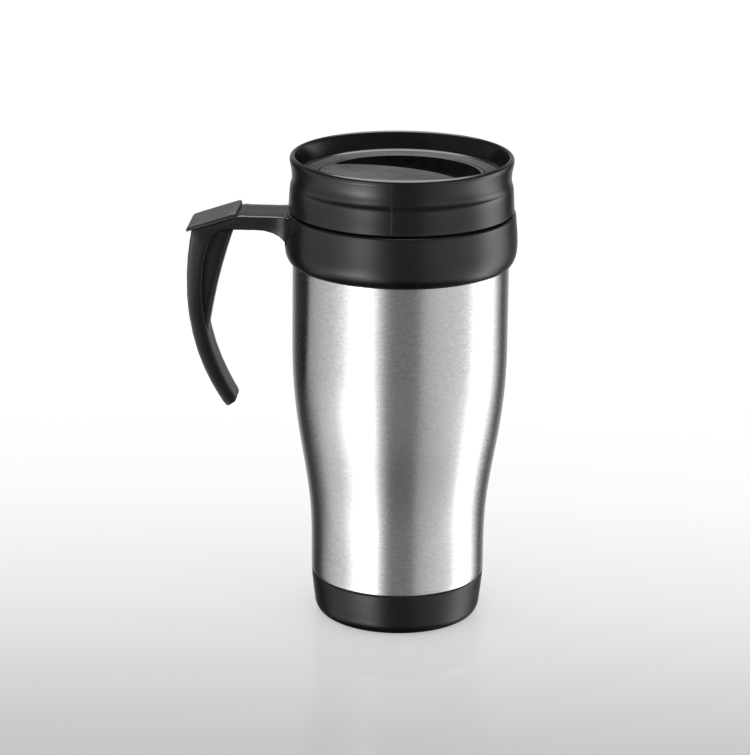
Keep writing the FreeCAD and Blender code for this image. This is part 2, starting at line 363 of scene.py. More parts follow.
def plastic(name, dark, light, gloss, skinValues, wear=0.35, haze=45.0, **fixed):
    # Moulded plastic: colour drift, hazy gloss, skin texture and rubbed edges
    material, tree, shader = newFinish(name, **fixed)
    skin = useGroup(tree, moulded, **skinValues)
    edges = useGroup(tree, rubbed, Amount=wear)
    marks = useGroup(tree, handled, Scale=haze)
    base = tint(tree, marks.outputs["Mask"], dark, light)
    worn = addNode(tree, "ShaderNodeMix", data_type="RGBA")
    worn.inputs["B"].default_value = (*[min(1, 3.2 * c + 0.01) for c in light], 1)
    tree.links.new(base, worn.inputs["A"])
    tree.links.new(edges.outputs["Mask"], worn.inputs["Factor"])
    tree.links.new(worn.outputs["Result"], shader.inputs["Base Color"])
    tree.links.new(spread(tree, marks.outputs["Mask"], *gloss), shader.inputs["Roughness"])
    tree.links.new(skin.outputs["Normal"], shader.inputs["Normal"])
    return material


def brushedSteel():
    material, tree, shader = newFinish("brushedSteel", Metallic=1.0, Anisotropic=0.8, Anisotropic_Rotation=0.25)
    grain = useGroup(tree, brushed)
    marks = useGroup(tree, handled, Scale=30.0)
    along = addNode(tree, "ShaderNodeTangent", direction_type="UV_MAP", uv_map="wrap")
    colour = tint(tree, grain.outputs["Streak"], (0.50, 0.50, 0.505), (0.75, 0.75, 0.755))
    rough = addNode(tree, "ShaderNodeMath", operation="ADD")
    tree.links.new(spread(tree, grain.outputs["Streak"], 0.19, 0.27), rough.inputs[0])
    tree.links.new(spread(tree, marks.outputs["Mask"], 0.0, 0.025), rough.inputs[1])
    tree.links.new(colour, shader.inputs["Base Color"])
    tree.links.new(rough.outputs["Value"], shader.inputs["Roughness"])
    tree.links.new(grain.outputs["Normal"], shader.inputs["Normal"])
    tree.links.new(along.outputs["Tangent"], shader.inputs["Tangent"])
    return material


steel = brushedSteel()
blackGloss = plastic("blackGloss", (0.003, 0.003, 0.0033), (0.006, 0.006, 0.0063), (0.20, 0.26),
                     {"Fine": 2600.0, "Wide": 300.0, "Depth": 0.000006, "Share": 0.4})
baseBlack = plastic("baseBlack", (0.003, 0.003, 0.0032), (0.006, 0.006, 0.0062), (0.28, 0.36),
                    {"Fine": 2400.0, "Wide": 350.0, "Depth": 0.00001, "Share": 0.4}, Specular_IOR_Level=0.38)
blackSatin = plastic("blackSatin", (0.003, 0.003, 0.0032), (0.006, 0.006, 0.0062), (0.24, 0.30),
                     {"Fine": 2400.0, "Wide": 350.0, "Depth": 0.00001, "Share": 0.4})
blackGrain = plastic("blackGrain", (0.003, 0.003, 0.0033), (0.026, 0.026, 0.0265), (0.44, 0.56),
                     {"Fine": 1700.0, "Wide": 900.0, "Depth": 0.0003, "Share": 0.3})
linerBlack = plastic("linerBlack", (0.010, 0.010, 0.0105), (0.016, 0.016, 0.0165), (0.33, 0.42),
                     {"Fine": 1800.0, "Wide": 160.0, "Depth": 0.00001, "Share": 0.5})
silicone = plastic("silicone", (0.045, 0.045, 0.048), (0.070, 0.070, 0.073), (0.55, 0.68),
                   {"Fine": 3000.0, "Wide": 400.0, "Depth": 0.00001, "Share": 0.5}, wear=0.1)
footRubber = plastic("footRubber", (0.016, 0.016, 0.017), (0.030, 0.030, 0.031), (0.72, 0.85),
                     {"Fine": 2600.0, "Wide": 900.0, "Depth": 0.00005, "Share": 0.4}, wear=0.6)
clipPlastic = plastic("clipPlastic", (0.030, 0.030, 0.032), (0.045, 0.045, 0.047), (0.42, 0.52),
                      {"Fine": 2400.0, "Wide": 500.0, "Depth": 0.00001, "Share": 0.5})
print("finishes made")


shell = {
    "wall": 0.6,
    "gripRadius": 32.7,
    "bodyRadius": radiusOf("outer_shell"),
    "foot": footOf("outer_shell"),
    "top": topOf("outer_shell"),
    "swell": [(32.73, 31.0), (33.05, 40.0), (33.8, 48.0), (35.05, 56.8), (36.4, 65.0), (37.7, 73.0),
              (38.75, 81.0), (39.6, 90.0), (40.03, 99.0)],
    "turnIn": 1.6,
    "footRound": 0.55,
}


def makeShell():
    s = shell
    rise = softLine([(s["gripRadius"], s["foot"] + 2.0), *s["swell"], (s["bodyRadius"], 108.0),
                     (s["bodyRadius"] - 0.05, s["top"])])
    inside = [(r - s["wall"], z) for r, z in reversed(rise)]
    inner = s["gripRadius"] - s["turnIn"]
    outline = [(inner, s["foot"]), (s["gripRadius"] - 0.05, s["foot"]), *rise, *inside,
               (s["gripRadius"] - s["wall"], s["foot"] + s["wall"]), (inner, s["foot"] + s["wall"])]
    bm = turned(outline, steps=160)
    roundRings(bm, [(s["gripRadius"] - 0.05, s["foot"], s["footRound"])], 4)
    return makePiece(bm, "steel_shell", "mug", "outer_shell", [steel])


base = {
    "bottom": footOf("base_cap"),
    "seam": footOf("outer_shell"),
    "plugTop": topOf("base_cap"),
    "padRecess": radiusOf("foot_pad") + 0.1,
    "padTop": topOf("foot_pad"),
    "corner": [(28.5, 0.0), (29.9, 0.45)],    # heights above the bottom
    "side": [(31.15, 3.2), (31.5, 5.6), (31.85, 8.4), (32.15, 11.2), (32.45, 14.0)],
    "edge": 32.6,
    "plug": 31.0,
    "wall": 1.8,
    "floor": 3.7,
    "ring": (13.0, 15.0, 8.45),
    "seamGap": 0.05,
}


def makeBase():
    b = base
    inside = b["plug"] - b["wall"]
    ringIn, ringOut, ringTop = b["ring"]
    under = b["seam"] - b["seamGap"]
    corner = [(r, b["bottom"] + rise) for r, rise in b["corner"]]
    side = softLine([*corner, *b["side"], (b["edge"], b["seam"] - 0.35)], 4)
    outline = [(0, b["padTop"]), (b["padRecess"], b["padTop"]), (b["padRecess"], b["bottom"]), *side,
               (b["edge"] - 0.2, under), (b["plug"], under), (b["plug"], b["plugTop"]),
               (inside, b["plugTop"]), (inside, b["floor"]), (ringOut, b["floor"]), (ringOut, ringTop),
               (ringIn, ringTop), (ringIn, b["floor"]), (0, b["floor"])]
    bm = turned(outline, steps=144, closed=False)
    roundRings(bm, [(b["padRecess"], b["bottom"], 0.25), (b["plug"], b["plugTop"], 0.4)])
    return makePiece(bm, "base_cap_shell", "mug", "base_cap", [baseBlack])


foot = {
    "radius": radiusOf("foot_pad"),
    "top": topOf("foot_pad"),
    "grooves": (7.0, 13.0, 19.0),
    "grooveTop": 0.35,      # half widths
    "grooveMouth": 0.6,
    "grooveDepth": 0.4,
}


def makeFoot():
    # Non-slip pad with three shallow grooves
    f = foot
    outline = [(0, 0)]
    for groove in f["grooves"]:
        outline += [(groove - f["grooveMouth"], 0), (groove - f["grooveTop"], f["grooveDepth"]),
                    (groove + f["grooveTop"], f["grooveDepth"]), (groove + f["grooveMouth"], 0)]
    outline += [(f["radius"], 0), (f["radius"], f["top"]), (0, f["top"])]
    bm = turned(outline, steps=120, closed=False)
    roundRings(bm, [(f["radius"], 0, 0.5)])
    return makePiece(bm, "foot_pad_skin", "mug", "foot_pad", [footRubber])


# The cup that holds the drink
liner = {
    "top": topOf("inner_liner"),
    "flange": radiusOf("inner_liner"),
    "floor": footOf("inner_liner"),
    "wall": 1.9,
    "seat": 153.95,
    "footRadius": 23.2,
    "heel": (26.75, 9.95),
    "innerFoot": [(25.0, 1.0), (22.0, 0.0)],    # heights above the inside of the floor
    "side": [(28.2, 13.5), (28.6, 22.0), (29.3, 38.0), (31.3, 52.0), (34.3, 68.0), (36.3, 88.0), (37.0, 110.0),
             (37.0, 126.0), (37.3, 131.0), (38.3, 138.0)],
    "neck": 38.5,
    "neckFoot": 140.5,
    "throat": [(36.45, 138.0), (35.4, 131.0)],
    "mouth": 36.75,
    "mouthFoot": 141.5,
    "mouthTop": 37.5,
    "mouthSlope": 1.2,
}


def makeLiner():
    n = liner
    floor, top = n["floor"], n["top"]
    bottom = floor + n["wall"]
    outside = softLine([(n["footRadius"], floor), n["heel"], *n["side"]], 4)
    inside = softLine([*n["throat"], *[(r - n["wall"], z) for r, z in reversed(n["side"][:-2])],
                       *[(r, bottom + rise) for r, rise in n["innerFoot"]]], 4)
    outline = [(0, floor), *outside, (n["neck"], n["neckFoot"]), (n["neck"], n["seat"]), (n["flange"], n["seat"]),
               (n["flange"], top), (n["mouthTop"], top), (n["mouth"], top - n["mouthSlope"]),
               (n["mouth"], n["mouthFoot"]), *inside, (0, bottom)]
    bm = turned(outline, steps=144, closed=False)
    roundRings(bm, [(n["flange"], top, 0.35), (n["mouthTop"], top, 0.3)])
    return makePiece(bm, "cup_liner", "mug", "inner_liner", [linerBlack])


# Collar and handle are one moulding
collar = {
    "top": topOf("lid_rim") - 21.0,
    "bottom": 137.4,
    "outer": [(40.6, 137.4), (41.35, 138.05), (42.0, 139.1), (42.5, 140.4), (42.85, 142.2), (43.0, 144.8),
              (42.85, 148.8), (42.55, 152.2), (42.3, 155.0), (42.15, 156.0)],
    "bore": 38.6,
    "skirtBore": 40.15,
    "lipBore": 40.25,
    "seat": 153.9,
    "skirtTop": 143.05,
    "lip": 41.7,
    "edgeRound": 0.2,
}

# Top or back of the handle, underside or front of it, and half its width
handle = {
    "stations": [
        ((-41.0, 155.05), (-41.0, 144.3), 11.0),
        ((-42.2, 155.05), (-42.2, 145.6), 10.4),
        ((-43.6, 155.05), (-43.6, 147.0), 9.9),
        ((-45.4, 155.05), (-45.4, 148.1), 9.6),
        ((-48.0, 155.05), (-48.0, 149.1), 9.5),
        ((-51.5, 155.05), (-51.5, 149.7), 9.5),
        ((-56.0, 155.05), (-55.6, 149.7), 9.5),
        ((-59.9, 155.0), (-59.6, 149.7), 9.5),
        ((-62.6, 153.8), (-62.4, 149.5), 9.5),
        ((-66.0, 152.7), (-65.4, 148.8), 9.5),
        ((-70.2, 151.3), (-67.9, 147.4), 9.5),
        ((-74.2, 150.1), (-69.4, 145.8), 9.5),
        ((-76.3, 149.2), (-70.3, 144.0), 9.45),
        ((-77.0, 146.9), (-71.1, 141.3), 9.3),
        ((-77.75, 142.6), (-72.1, 137.8), 9.0),
        ((-78.5, 135.6), (-72.9, 131.6), 8.5),
        ((-78.75, 127.6), (-73.2, 124.8), 7.9),
        ((-78.5, 119.6), (-72.8, 117.8), 7.4),
        ((-77.5, 112.4), (-71.8, 111.4), 7.1),
        ((-76.0, 105.4), (-70.3, 104.8), 6.9),
        ((-73.75, 98.4), (-68.4, 98.9), 6.8),
        ((-71.1, 92.2), (-66.1, 93.3), 6.75),
        ((-68.4, 87.1), (-63.9, 88.7), 6.7),
        ((-66.3, 83.6), (-62.2, 85.5), 6.7),
        ((-65.0, 81.8), (-61.35, 83.9), 6.7),
        ((-63.9, 80.95), (-61.2, 82.75), 6.5),
    ],
    "edge": 0.6,
    "crown": 0.12,
}

web = {
    "stations": [
        ((-66.0, 152.0), (-60.8, 151.0), 4.9),
        ((-70.5, 148.4), (-61.9, 148.4), 4.9),
        ((-73.5, 144.0), (-63.6, 143.6), 4.9),
        ((-75.0, 138.0), (-65.4, 137.7), 4.8),
        ((-75.6, 131.0), (-67.2, 131.2), 4.7),
        ((-75.8, 124.0), (-68.8, 124.4), 4.6),
        ((-75.4, 117.0), (-70.2, 117.4), 4.5),
        ((-74.6, 111.0), (-71.3, 111.5), 4.4),
        ((-73.8, 106.5), (-72.2, 107.0), 4.0),
    ],
    "edge": 1.5,
    "crown": 0.1,
}


def stripSection(back, front, halfWidth, edge, crown):
    # One rounded, slightly crowned section across the handle
    b, f = Vector((back[0], 0, back[1])), Vector((front[0], 0, front[1]))
    across = (f - b).normalized()
    deep = (f - b).length
    e = min(edge, deep * 0.3)
    near = 0.3 * e
    half = [(0, 0), (0, halfWidth - e), (near, halfWidth - near), (e, halfWidth),
            (deep / 2, halfWidth + crown), (deep - e, halfWidth), (deep - near, halfWidth - near),
            (deep, halfWidth - e)]
    ring = half + [(deep, 0)] + [(d, -w) for d, w in reversed(half[1:])]
    return [b + across * d + Vector((0, w, 0)) for d, w in ring]


def makeCollarHandle():
    c = collar
    skin = softLine(c["outer"], 4)
    outline = [(c["skirtBore"], c["bottom"]), *skin, (c["lip"] + 0.25, c["top"] - 0.08), (c["lip"], c["top"]),
               (c["lipBore"], c["top"]), (c["lipBore"], c["seat"]), (c["bore"], c["seat"]),
               (c["bore"], c["skirtTop"]), (c["skirtBore"], c["skirtTop"])]
    bm = turned(outline, steps=160)
    roundRings(bm, [(c["skirtBore"], c["bottom"], c["edgeRound"]), (c["lipBore"], c["top"], c["edgeRound"])])
    strip = loft([stripSection(*s, handle["edge"], handle["crown"]) for s in handle["stations"]])
    rib = loft([stripSection(*s, web["edge"], web["crown"]) for s in web["stations"]])
    for part in (strip, rib):
        bmesh.ops.subdivide_edges(part, edges=part.edges[:], cuts=1, use_grid_fill=True, smooth=1.0)
        bm = combine(bm, part, "UNION")
    return makePiece(bm, "collar_and_handle", "mug", "collar_handle", [blackSatin])


pad = {
    "top": [(-60.0, 155.2), (-60.0, 155.85), (-60.25, 156.2), (-60.8, 156.33), (-64.5, 155.12), (-69.5, 153.45),
            (-74.0, 151.95), (-77.3, 150.8), (-78.1, 150.4), (-78.4, 149.8), (-78.35, 149.2), (-77.8, 149.0)],
    "topHalfWidth": 10.45,
    "topRound": 0.5,
    "plate": [(-60.0, 154.75), (-60.0, 155.3), (-77.9, 149.6), (-78.5, 149.75), (-78.6, 149.2),
              (-78.15, 148.95)],
    "plateHalfWidth": 10.8,
    "plateRound": 0.12,
    "noseFrom": -76.0,
    "nose": 0.02,
}


def sideSlab(outline, halfWidth, nose, edge):
    # A side outline carried across the handle, a little narrower at its nose
    bm = bmesh.new()
    flat = bm.faces.new([bm.verts.new((x * mm, -halfWidth * mm, z * mm)) for x, z in outline])
    out = bmesh.ops.extrude_face_region(bm, geom=[flat])["geom"]
    moved = [g for g in out if isinstance(g, bmesh.types.BMVert)]
    bmesh.ops.translate(bm, verts=moved, vec=(0, 2 * halfWidth * mm, 0))
    bmesh.ops.recalc_face_normals(bm, faces=bm.faces)
    for v in bm.verts:
        v.co.y *= 1 - nose * max(0, (pad["noseFrom"] - v.co.x / mm) / 3.0) ** 2
    rims = [e for e in bm.edges if abs(e.verts[0].co.y - e.verts[1].co.y) < 2 * mm]
    bmesh.ops.bevel(bm, geom=rims, offset=edge * mm, segments=4, profile=0.5, affect="EDGES", material=-1,
                    clamp_overlap=True)
    return bm


def makePad():
    # The soft top sits on a thin plate that shows as a fine ledge round it
    bm = sideSlab(pad["plate"], pad["plateHalfWidth"], pad["nose"], pad["plateRound"])
    bm = combine(bm, sideSlab(pad["top"], pad["topHalfWidth"], pad["nose"], pad["topRound"]), "UNION")
    return makePiece(bm, "thumb_rest", "mug", "thumb_pad", [blackGrain])


lid = {
    "bottom": footOf("lid_rim"),
    "skirt": (39.35, 41.3),
    "wall": [(41.65, 157.4), (41.5, 159.4), (41.38, 162.0), (41.22, 164.2), (41.08, 165.6)],
    "waist": [(40.92, 166.5), (40.66, 167.3), (40.46, 168.3), (40.38, 169.4), (40.42, 170.6), (40.62, 172.3),
              (41.0, 174.4), (41.22, 175.6), (41.1, 176.6), (40.6, 177.2), (40.1, 177.4)],
    "bowl": [(40.1, 177.4), (39.55, 177.15), (39.2, 176.4), (38.7, 174.8), (37.75, 171.7), (37.35, 170.75),
             (36.5, 170.2)],
    "floor": 170.2,
    "pocket": 31.0,
    "shelf": 168.0,
    "shelfRadius": 39.0,
    "grainRadius": 36.6,
    "seamTurns": (88, -92),
    "seamTop": 176.5,
    "seamHalfWidth": 0.4,
    "seamProud": 0.22,
    "seamRoot": 0.05,
    "seamTaper": 0.8,
}


def makeLidRim():
    k = lid
    outer = softLine(k["wall"], 4) + softLine(k["waist"], 4)
    skirtIn, skirtOut = k["skirt"]
    outline = [(skirtIn, k["bottom"]), (skirtOut, k["bottom"]), *outer, *softLine(k["bowl"], 4)[1:],
               (k["pocket"], k["floor"]), (k["pocket"], k["shelf"]), (k["shelfRadius"], k["shelf"])]
    bm = turned(outline, steps=180)
    roundRings(bm, [(k["pocket"], k["floor"], 0.3), (skirtIn, k["bottom"], 0.2)])
    for f in bm.faces:
        middle = f.calc_center_median() / mm
        inBowl = middle.z > k["floor"] - 0.4 and math.hypot(middle.x, middle.y) < k["grainRadius"]
        if inBowl and f.normal.z > 0.9:
            f.material_index = 1
    for turn in k["seamTurns"]:
        join(bm, seamRidge(outer, turn))
    return makePiece(bm, "lid_rim_wall", "lid", "lid_rim", [blackGloss, blackGrain])


def seamRidge(outer, turn):
    # The fine parting line that the mould leaves up the lid's wall
    k = lid
    bm = bmesh.new()
    line = [(r + k["seamProud"], z) for r, z in outer if z < k["seamTop"]]
    back = [(r - k["seamRoot"], z) for r, z in reversed(outer) if z < k["seamTop"]]
    dots = [bm.verts.new((r * mm, 0, z * mm)) for r, z in line + back]
    strip = bm.faces.new(dots)
    sweep = 2 * math.asin(k["seamHalfWidth"] / 41)
    out = bmesh.ops.extrude_face_region(bm, geom=[strip])["geom"]
    moved = [g for g in out if isinstance(g, bmesh.types.BMVert)]
    bmesh.ops.rotate(bm, verts=moved, cent=(0, 0, 0), matrix=Matrix.Rotation(sweep, 3, "Z"))
    wallAt = {round(z, 3): r for r, z in outer}
    for v in bm.verts:
        if math.hypot(v.co.x, v.co.y) / mm > wallAt[round(v.co.z / mm, 3)]:
            toMiddle = k["seamTaper"] * (sweep / 2 - math.atan2(v.co.y, v.co.x))
            v.co = Matrix.Rotation(toMiddle, 3, "Z") @ v.co
    bmesh.ops.rotate(bm, verts=bm.verts, cent=(0, 0, 0),
                     matrix=Matrix.Rotation(math.radians(turn) - sweep / 2, 3, "Z"))
    bmesh.ops.recalc_face_normals(bm, faces=bm.faces)
    return bm


# The drink disc and what it meets in the lid's floor
closure = {
    "angle": 63.0,
    "portDistance": 22.5,
    "portLength": 11.0,
    "portWidth": 6.5,
    "ventAngle": 15.0,
    "ventRadius": 1.2,
    "wellRadius": 29.2,
    "wellFloor": 165.3,
    "ridgeRadius": 49.0,
    "ridgeOffset": 9.0,
    "discRadius": radiusOf("drink_disc"),
    "discTop": topOf("drink_disc"),
    "discBottom": 163.7,
    "pegDistance": 12.0,
    "pegRadius": 1.8,
    "pegLow": 162.2,
    "trackHalfWidth": 2.15,
    "trackFloor": 161.9,
    "travel": 75.0,
    "holeBottom": 160,      # cutters reach past the lid's floor
    "cutTop": 164,
    "holeTop": 165,
}


def post(radius, low, high, at, steps):
    # An upright rod, for cutting holes
    bm = bmesh.new()
    bmesh.ops.create_cone(bm, cap_ends=True, segments=steps, radius1=radius * mm, radius2=radius * mm,
                          depth=(high - low) * mm)
    bmesh.ops.translate(bm, verts=bm.verts, vec=(at[0] * mm, at[1] * mm, (low + high) / 2 * mm))
    return bm


def polar(distance, angle):
    return distance * math.cos(math.radians(angle)), distance * math.sin(math.radians(angle))


def portCutter(low, high):
    # The drink hole: a rod pulled out sideways into a slot
    c = closure
    bm = post(c["portWidth"] / 2, low, high, (0, 0), 32)
    for v in bm.verts:
        if abs(v.co.y) > 1e-6:
            v.co.y += math.copysign((c["portLength"] - c["portWidth"]) / 2 * mm, v.co.y)
    bmesh.ops.translate(bm, verts=bm.verts, vec=(c["portDistance"] * mm, 0, 0))
    bmesh.ops.rotate(bm, verts=bm.verts, cent=(0, 0, 0),
                     matrix=Matrix.Rotation(math.radians(c["angle"]), 3, "Z"))
    return bm


def stopTrack():
    # The curved slot that the disc's peg runs in, as three cutters
    c = closure
    near, far = c["pegDistance"] - c["trackHalfWidth"], c["pegDistance"] + c["trackHalfWidth"]
    low, high = c["trackFloor"], c["cutTop"]
    start = c["angle"] + 180
    bm = bmesh.new()
    flat = bm.faces.new([bm.verts.new((x * mm, 0, z * mm))
                         for x, z in ((near, low), (far, low), (far, high), (near, high))])
    bmesh.ops.rotate(bm, verts=bm.verts, cent=(0, 0, 0), matrix=Matrix.Rotation(math.radians(start), 3, "Z"))
    bmesh.ops.spin(bm, geom=[flat, *flat.edges, *flat.verts], cent=(0, 0, 0), axis=(0, 0, 1),
                   angle=math.radians(c["travel"]), steps=24)
    bmesh.ops.recalc_face_normals(bm, faces=bm.faces)
    ends = [post(c["trackHalfWidth"], low, high, polar(c["pegDistance"], turn), 32)
            for turn in (start, start + c["travel"])]
    return [bm, *ends]


plug = {
    "bottom": footOf("lid_plug"),
    "top": topOf("lid_plug"),
    "hub": 4.3,
    "floor": (161.1, 163.3),
    "skirtBore": 34.2,
    "skirt": 36.4,
    "leadIn": (0.5, 1.2),
    "groove": (35.1, 149.0, 153.0),
    "neck": (31.0, 33.4),
    "sealRecess": (17.5, 29.7, 162.5),
}


def makeLidPlug():
    p, c = plug, closure
    under, floor = p["floor"]
    grooveIn, grooveLow, grooveHigh = p["groove"]
    neckIn, neckOut = p["neck"]
    sealIn, sealOut, sealSeat = p["sealRecess"]
    leadIn, leadUp = p["leadIn"]
    outline = [(p["hub"], floor), (p["hub"], under), (p["skirtBore"], under), (p["skirtBore"], p["bottom"]),
               (p["skirt"] - leadIn, p["bottom"]), (p["skirt"], p["bottom"] + leadUp), (p["skirt"], grooveLow),
               (grooveIn, grooveLow), (grooveIn, grooveHigh), (p["skirt"], grooveHigh), (p["skirt"], floor),
               (neckOut, floor), (neckOut, p["top"]), (neckIn, p["top"]), (neckIn, floor)]
    bm = turned(outline, steps=144)
    recess = [(sealIn, sealSeat), (sealOut, sealSeat), (sealOut, c["cutTop"]), (sealIn, c["cutTop"])]
    bm = combine(bm, turned(recess, steps=120))
    for cutter in stopTrack():
        bm = combine(bm, cutter)
    bm = combine(bm, portCutter(c["holeBottom"], c["holeTop"]))
    vent = polar(c["portDistance"], c["ventAngle"])
    bm = combine(bm, post(c["ventRadius"], c["holeBottom"], c["holeTop"], vent, 24))
    return makePiece(bm, "lid_plug_shell", "lid", "lid_plug", [blackGloss])


gasket = {
    "bottom": footOf("lid_gasket"),
    "top": topOf("lid_gasket"),
    "lip": radiusOf("lid_gasket"),
    "inner": 35.16,
    "root": 36.0,
    "lipHeights": (0.4, 0.8, 1.4),
    "lipRound": 0.15,
}


def makeGasket():
    g = gasket
    low, high, lip, inner, root = (g[k] for k in ("bottom", "top", "lip", "inner", "root"))
    start, end, back = g["lipHeights"]
    outline = [(inner, low), (root, low), (lip, low + start), (lip, low + end), (root, low + back),
               (root, high - back), (lip, high - end), (lip, high - start), (root, high), (inner, high)]
    bm = turned(outline, steps=144)
    roundRings(bm, [(lip, z, g["lipRound"]) for z in (low + start, low + end, high - end, high - start)])
    return makePiece(bm, "gasket_lips", "gasket", "lid_gasket", [silicone])


disc = {
    "bottom": footOf("drink_disc"),
    "hub": 4.22,
    "hubNose": (3.8, 0.4),
    "clipGroove": (3.62, 159.2, 160.7),
    "edgeRound": 0.5,
}


def makeDisc():
    c, d = closure, disc
    hub, low = d["hub"], d["bottom"]
    noseRadius, noseUp = d["hubNose"]
    grooveIn, grooveLow, grooveHigh = d["clipGroove"]
    outline = [(0, low), (noseRadius, low), (hub, low + noseUp), (hub, grooveLow), (grooveIn, grooveLow),
               (grooveIn, grooveHigh), (hub, grooveHigh), (hub, c["discBottom"]),
               (c["discRadius"], c["discBottom"]), (c["discRadius"], c["discTop"]), (0, c["discTop"])]
    bm = turned(outline, steps=160, closed=False)
    back = polar(c["ridgeOffset"] - c["ridgeRadius"], c["angle"])
    well = combine(post(c["wellRadius"], c["wellFloor"], c["discTop"] + 3, (0, 0), 160),
                   post(c["ridgeRadius"], c["wellFloor"] - 1, c["discTop"] + 4, back, 220))
    bm = combine(bm, well)
    holeLow, holeHigh = c["discBottom"] - 1, c["wellFloor"] + 1
    bm = combine(bm, portCutter(holeLow, holeHigh))
    vent = polar(c["portDistance"], c["ventAngle"])
    bm = combine(bm, post(c["ventRadius"], holeLow, holeHigh, vent, 24))
    pegAt = polar(c["pegDistance"], c["angle"] + 180)
    bm = combine(bm, post(c["pegRadius"], c["pegLow"], c["discBottom"] + 0.5, pegAt, 32), "UNION")
    for f in bm.faces:
        onTop = f.normal.z > 0.9 and f.calc_center_median().z > (c["discTop"] - 0.1) * mm
        f.material_index = 1 if onTop else 0
    piece = makePiece(bm, "drink_disc_body", "closure", "drink_disc",
                      [blackGloss, blackGrain])
    edge = piece.modifiers.new("edge", "BEVEL")
    edge.width = d["edgeRound"] * mm
    edge.segments = 3
    edge.limit_method = "ANGLE"
    edge.angle_limit = math.radians(40)
    edge.harden_normals = True
    return piece


makeShell()
makeBase()
makeFoot()
makeLiner()
makeCollarHandle()
makePad()
makeLidRim()
makeLidPlug()
makeGasket()
makeDisc()

for node, finish in (("upper_seal", silicone), ("lower_seal", silicone), ("disc_seal", silicone),
                     ("disc_clip", clipPlastic)):
    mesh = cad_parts[node].data
    mesh.materials.clear()
    mesh.materials.append(finish)
print("pieces made")


view = {
    "turn": 3.0,            # the camera stands a little to the handle's far side
    "lift": 17.52,
    "distance": 1.101,
    "aim": 0.090,
    "roll": 0.70,
    "lens": 140.04,
    "shift": (-0.0323, 0.00628),
}


def makeCamera():
    turn, lift, roll = (math.radians(view[k]) for k in ("turn", "lift", "roll"))
    spin = Matrix.Rotation(turn, 3, "Z")
    right = spin @ Vector((1, 0, 0))
    up = spin @ Vector((0, math.sin(lift), math.cos(lift)))
    ahead = spin @ Vector((0, math.cos(lift), -math.sin(lift)))
    leanRight = math.cos(roll) * right + math.sin(roll) * up
    leanUp = math.cos(roll) * up - math.sin(roll) * right
    camera = bpy.data.objects.new("camera", bpy.data.cameras.new("camera"))
    camera.matrix_world = Matrix((leanRight, leanUp, -ahead)).transposed().to_4x4()
    camera.location = Vector((0, 0, view["aim"])) - ahead * view["distance"]
    camera.data.sensor_width = 36
    camera.data.lens = view["lens"]
    camera.data.shift_x, camera.data.shift_y = view["shift"]
    camera.data.clip_end = 20
    bpy.context.scene.collection.objects.link(camera)
    bpy.context.scene.camera = camera


# How pale the floor is painted from front to back, by its distance behind the mug in metres: painted shade that
# darkens it towards the front, and also the colour of its painted glow
floorGlowAndShade = [(-0.45, 0.28), (-0.126, 0.53), (-0.07, 0.635), (-0.033, 0.71), (0.008, 0.78), (0.062, 0.84),
             (0.122, 0.90), (0.19, 0.925), (0.30, 0.96), (0.60, 1.0)]


def rampOf(tree, stops):
    # A colour ramp through (place, brightness) stops, spread over its whole length
    ramp = addNode(tree, "ShaderNodeValToRGB")
    marks = ramp.color_ramp.elements
    while len(marks) > 1:
        marks.remove(marks[-1])
    first, last = stops[0][0], stops[-1][0]
    for i, (place, shade) in enumerate(stops):
        where = (place - first) / (last - first)
        mark = marks[0] if i == 0 else marks.new(where)
        mark.position = where
        mark.color = (shade, shade, shade, 1)
    return ramp


def makeFloor():
    bm = bmesh.new()
    bmesh.ops.create_circle(bm, cap_ends=True, segments=96, radius=6.0)
    mesh = bpy.data.meshes.new("floor")
    bm.to_mesh(mesh)
    bm.free()
    # Painted light: the floor glows with the ramp's colour at 0.6 and takes only half that colour as its base, so
    # the shadows on it are painted lighter
    material, tree, shader = newFinish("paleFloorWithPaintedGlow", Roughness=0.12, Specular_IOR_Level=0.5,
                                       Emission_Strength=0.6)
    place = addNode(tree, "ShaderNodeTexCoord")
    split = addNode(tree, "ShaderNodeSeparateXYZ")
    fade = addNode(tree, "ShaderNodeMapRange", clamp=True)
    fade.inputs["From Min"].default_value = floorGlowAndShade[0][0]
    fade.inputs["From Max"].default_value = floorGlowAndShade[-1][0]
    paintedFloorShade = rampOf(tree, floorGlowAndShade)
    half = addNode(tree, "ShaderNodeMix", data_type="RGBA", Factor=0.5)
    half.inputs["B"].default_value = (0, 0, 0, 1)
    tree.links.new(place.outputs["Object"], split.inputs["Vector"])
    tree.links.new(split.outputs["Y"], fade.inputs["Value"])
    tree.links.new(fade.outputs["Result"], paintedFloorShade.inputs["Fac"])
    tree.links.new(paintedFloorShade.outputs["Color"], half.inputs["A"])
    tree.links.new(half.outputs["Result"], shader.inputs["Base Color"])
    tree.links.new(paintedFloorShade.outputs["Color"], shader.inputs["Emission Color"])
    mesh.materials.append(material)
    floor = bpy.data.objects.new("floor", mesh)
    bpy.context.scene.collection.objects.link(floor)
    floor.visible_glossy = False


